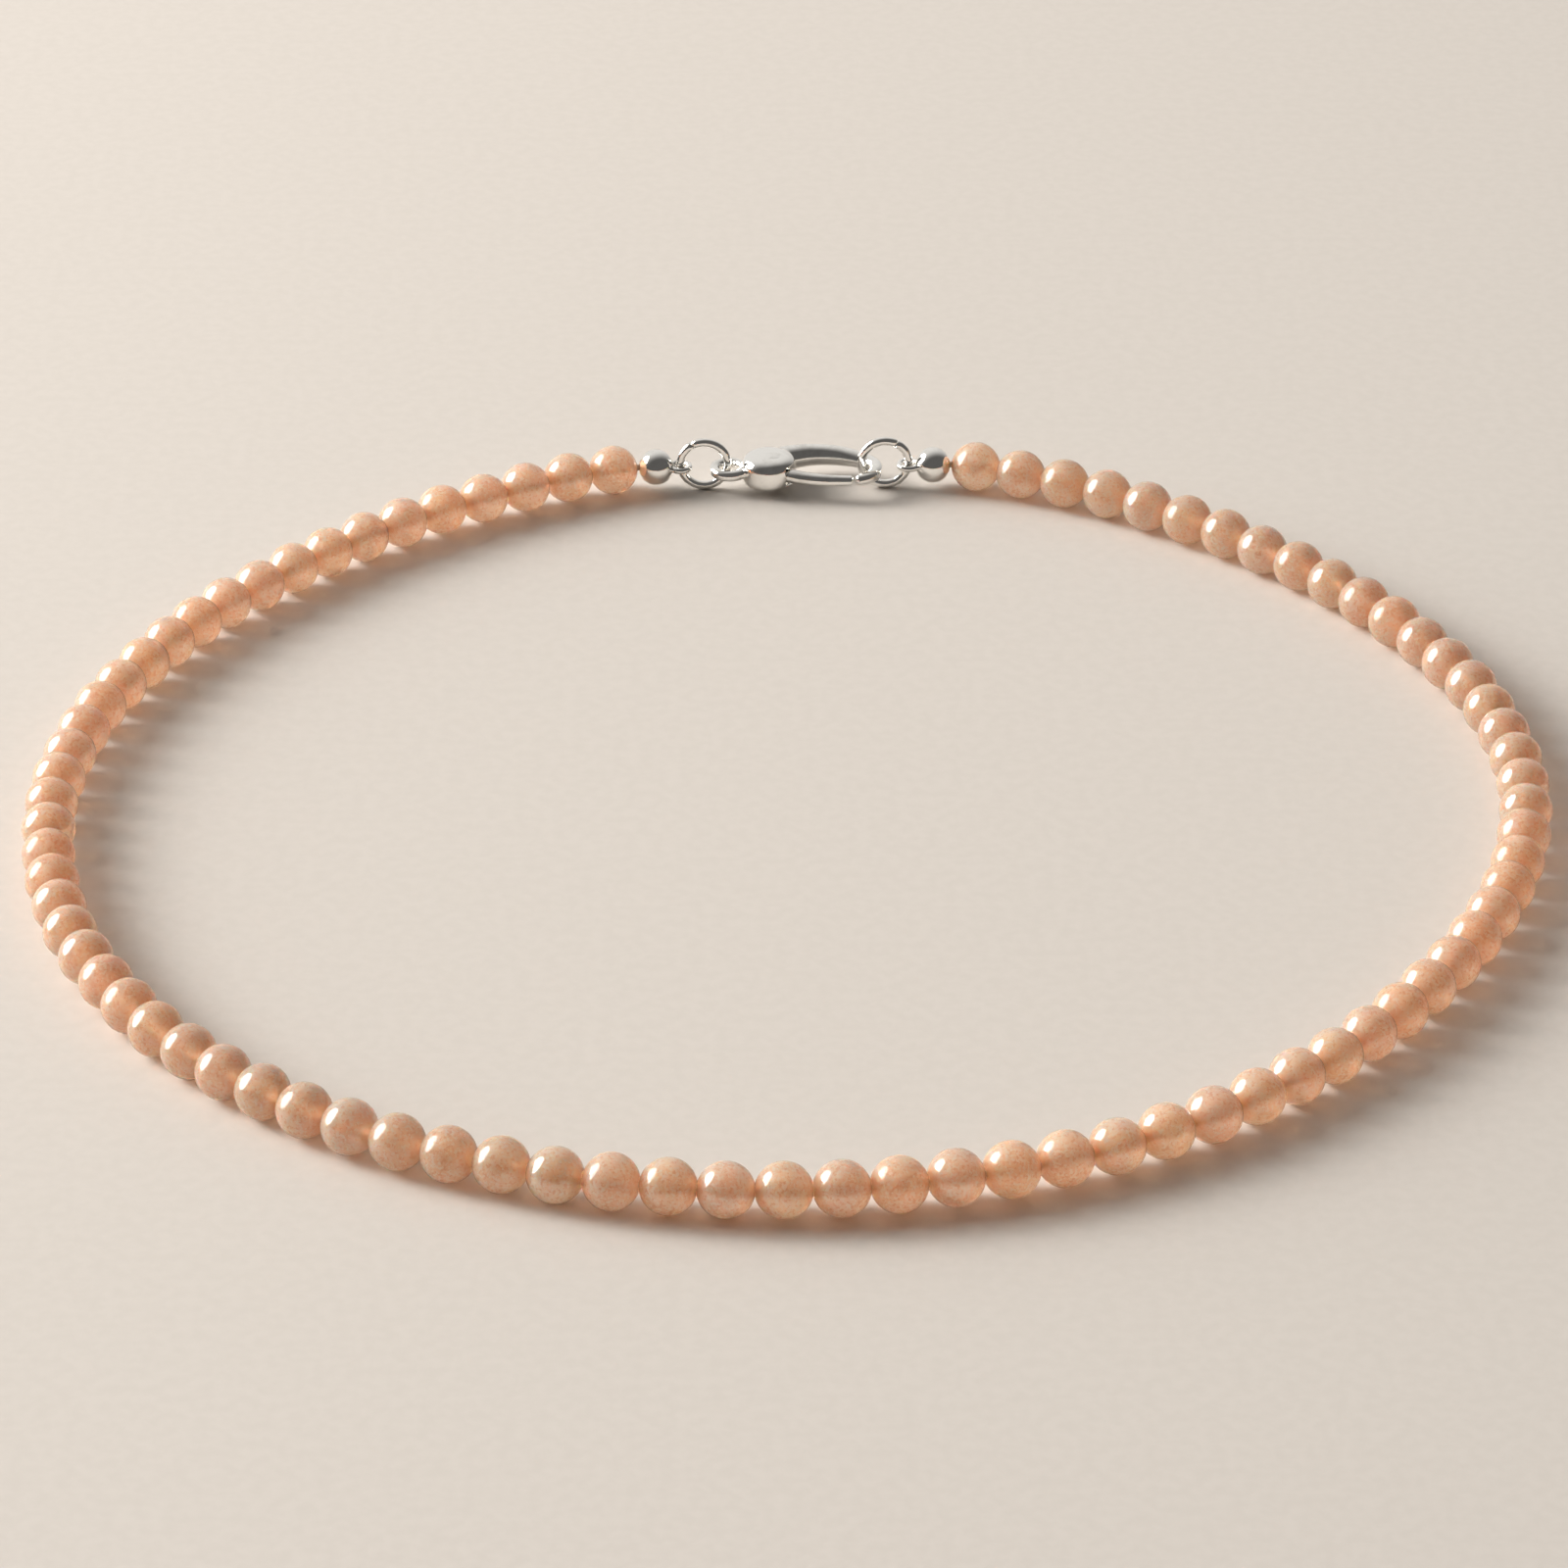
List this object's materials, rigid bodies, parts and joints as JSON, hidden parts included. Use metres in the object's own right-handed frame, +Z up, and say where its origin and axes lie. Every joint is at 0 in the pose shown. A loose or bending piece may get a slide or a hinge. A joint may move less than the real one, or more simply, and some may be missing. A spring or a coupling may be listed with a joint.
{
  "type": "beaded choker",
  "caption": "Choker of round polished stone beads strung close together, closed at the back by a lobster claw and two jump rings.",
  "frame": {"origin": "centre of the bounding box on the surface that the choker lies on", "axes": "+Z up from the surface, +Y towards the clasp at the back, -Y towards the middle of the beads at the front"},
  "size_m": [0.1232, 0.1252, 0.005],
  "materials": {
    "peach_stone": "polished, slightly translucent peach stone with fine cloudy grain",
    "polished_silver": "polished silver"
  },
  "bodies": {
    "necklace": {"bead_string": "peach_stone", "end_cover_left": "polished_silver", "end_cover_right": "polished_silver", "jump_ring_left": "polished_silver", "jump_ring_right": "polished_silver", "clasp_body": "polished_silver", "clasp_pin": "polished_silver"},
    "lever": {"clasp_lever": "polished_silver"}
  },
  "joints": [
    {"name": "lever_pivot", "type": "hinge", "parent": "necklace", "child": "lever", "pos_m": [-0.00139, 0.05835, 0.0019], "axis": [0, 0, 1], "range_deg": [0, 26], "stiffness_Nm_per_rad": 0.004, "springref_deg": -14.32}
  ]
}
